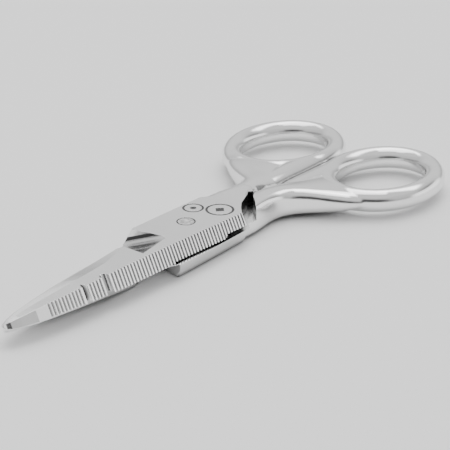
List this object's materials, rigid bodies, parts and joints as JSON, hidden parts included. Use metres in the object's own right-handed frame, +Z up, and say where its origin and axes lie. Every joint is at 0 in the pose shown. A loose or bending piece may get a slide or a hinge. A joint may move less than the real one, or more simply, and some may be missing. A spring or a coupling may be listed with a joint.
{
  "type": "electrician's snips",
  "caption": "All-metal electrician's snips with a file along one spine, wire stripping notches, a cable notch near the pivot and two finger rings.",
  "frame": {"origin": "on the pivot axis, at the plane the snips rest on, in the middle of the rivet's flush head", "axes": "+X from the pivot toward the finger rings, +Y toward the upper half's ring, +Z up through the pivot, away from the rest plane"},
  "size_m": [0.135, 0.0604, 0.008],
  "materials": {
    "plated_steel": "polished nickel plate over forged steel",
    "rivet_steel": "ground flush steel"
  },
  "bodies": {
    "lower": {"lower_half": "plated_steel"},
    "upper": {"upper_half": "plated_steel", "pivot_rivet": "rivet_steel"}
  },
  "joints": [
    {"name": "pivot", "type": "hinge", "parent": "lower", "child": "upper", "pos_m": [0, 0, 0], "axis": [0, 0, 1], "range_deg": [0, 75]}
  ]
}
